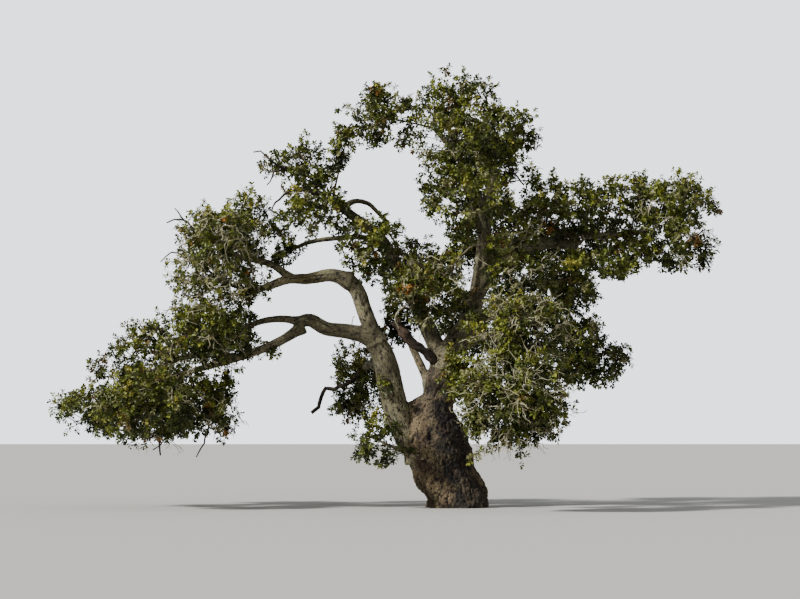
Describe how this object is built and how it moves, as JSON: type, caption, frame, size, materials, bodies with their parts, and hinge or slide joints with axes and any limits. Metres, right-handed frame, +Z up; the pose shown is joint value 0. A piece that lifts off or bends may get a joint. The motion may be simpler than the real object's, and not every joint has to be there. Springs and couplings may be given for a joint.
{
  "type": "oak tree",
  "caption": "Old spreading oak with a leaning burly trunk, long crooked boughs on one side, an upright centre and open masses of leaves, cut flat at ground level.",
  "frame": {"origin": "middle of the flat cut at ground level under the trunk", "axes": "+X to the right as the tree is seen from its open side, along its width; +Y away from the viewer; +Z up"},
  "size_m": [16.4367, 10.1064, 10.8904],
  "materials": {
    "bark": "rough deeply furrowed grey-brown bark",
    "dead_wood": "dry bare reddish-brown wood",
    "foliage": "leathery matte leaves"
  },
  "bodies": {
    "root": {"back_high": "bark", "back_left": "bark", "back_left_mass": "foliage", "back_low": "bark", "back_low_mass": "foliage", "back_right": "bark", "back_right_low": "foliage", "back_sweep": "bark", "column_back": "foliage", "column_front": "foliage", "column_low": "foliage", "column_right": "foliage", "crown_top": "foliage", "dead_snag": "dead_wood", "far_left_tip": "foliage", "front_high": "bark", "front_right": "bark", "front_right_high": "foliage", "front_right_low": "foliage", "inner_left": "bark", "inner_left_back": "foliage", "inner_left_front": "foliage", "left_arm": "bark", "left_arm_reach": "bark", "left_arm_rise": "bark", "left_crest": "foliage", "left_crest_low": "foliage", "left_flank": "foliage", "left_high": "bark", "left_inner": "foliage", "left_low_arm": "bark", "left_low_back": "foliage", "left_low_front": "foliage", "left_low_lower": "bark", "left_low_upper": "bark", "left_mid_back": "foliage", "left_mid_front": "foliage", "left_runner": "bark", "left_shelf": "foliage", "left_shoulder_back": "foliage", "left_shoulder_front": "foliage", "left_skirt": "foliage", "low_front": "bark", "middle_stem": "bark", "right_arm": "bark", "right_arm_out": "bark", "right_back": "foliage", "right_end": "foliage", "right_end_low": "foliage", "right_low_back": "foliage", "right_low_front": "foliage", "right_mid": "foliage", "right_near": "foliage", "top_back": "foliage", "top_front": "foliage", "top_left": "foliage", "top_left_stem": "bark", "top_right": "foliage", "trunk": "bark", "trunk_sprig": "foliage"}
  },
  "joints": []
}
